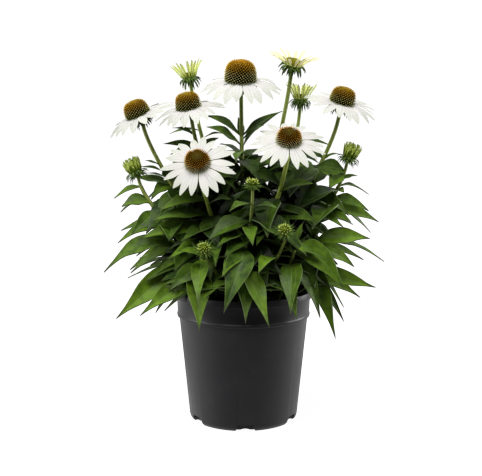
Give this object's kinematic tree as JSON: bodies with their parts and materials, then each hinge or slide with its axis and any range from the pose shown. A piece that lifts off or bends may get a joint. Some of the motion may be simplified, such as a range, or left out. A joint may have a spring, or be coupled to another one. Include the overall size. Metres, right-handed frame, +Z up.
{
  "type": "potted coneflower plant",
  "caption": "White-flowered purple coneflower in full leaf, with open blooms, opening heads and green buds, growing in a round charcoal nursery pot.",
  "frame": {"origin": "on the ground under the middle of the pot, which is also the middle of the plant's spread", "axes": "+Z up along the pot's axis; -Y towards the side that the two nodding blooms face; +X to the right seen from that side"},
  "size_m": [0.336, 0.246, 0.4492],
  "materials": {
    "pot": "satin",
    "potting_mix": "matte",
    "foliage": "satin",
    "petals": "matte",
    "young_petals": "matte",
    "cone": "matte",
    "young_cone": "matte",
    "bud": "matte"
  },
  "bodies": {
    "root": {"nursery_pot": "pot", "potting_mix": "potting_mix", "cone_top": "cone", "rays_top": "petals", "cone_left": "cone", "rays_left": "petals", "cone_upper_left": "cone", "rays_upper_left": "petals", "cone_front_left": "cone", "rays_front_left": "petals", "cone_front_right": "cone", "rays_front_right": "petals", "cone_right": "cone", "rays_right": "petals", "cone_opening": "young_cone", "rays_opening": "young_petals", "cone_young_left": "young_cone", "rays_young_left": "young_petals", "cone_young_right": "young_cone", "rays_young_right": "young_petals", "knob_bud_left": "bud", "knob_bud_right": "bud", "knob_bud_middle": "bud", "knob_bud_low_left": "bud", "knob_bud_low_right": "bud", "leafy_shoot_left": "foliage", "leafy_shoot_front_left": "foliage", "leafy_shoot_front": "foliage", "leafy_shoot_front_right": "foliage", "leafy_shoot_right": "foliage", "leafy_shoot_back_right": "foliage", "leafy_shoot_back": "foliage", "leafy_shoot_back_left": "foliage", "leafy_stem_top": "foliage", "leafy_stem_left": "foliage", "leafy_stem_upper_left": "foliage", "leafy_stem_front_left": "foliage", "leafy_stem_front_right": "foliage", "leafy_stem_right": "foliage", "leafy_stem_opening": "foliage", "leafy_stem_young_left": "foliage", "leafy_stem_young_right": "foliage", "leafy_stem_bud_left": "foliage", "leafy_stem_bud_right": "foliage", "leafy_stem_bud_middle": "foliage", "leafy_stem_bud_low_left": "foliage", "leafy_stem_bud_low_right": "foliage"}
  },
  "joints": []
}
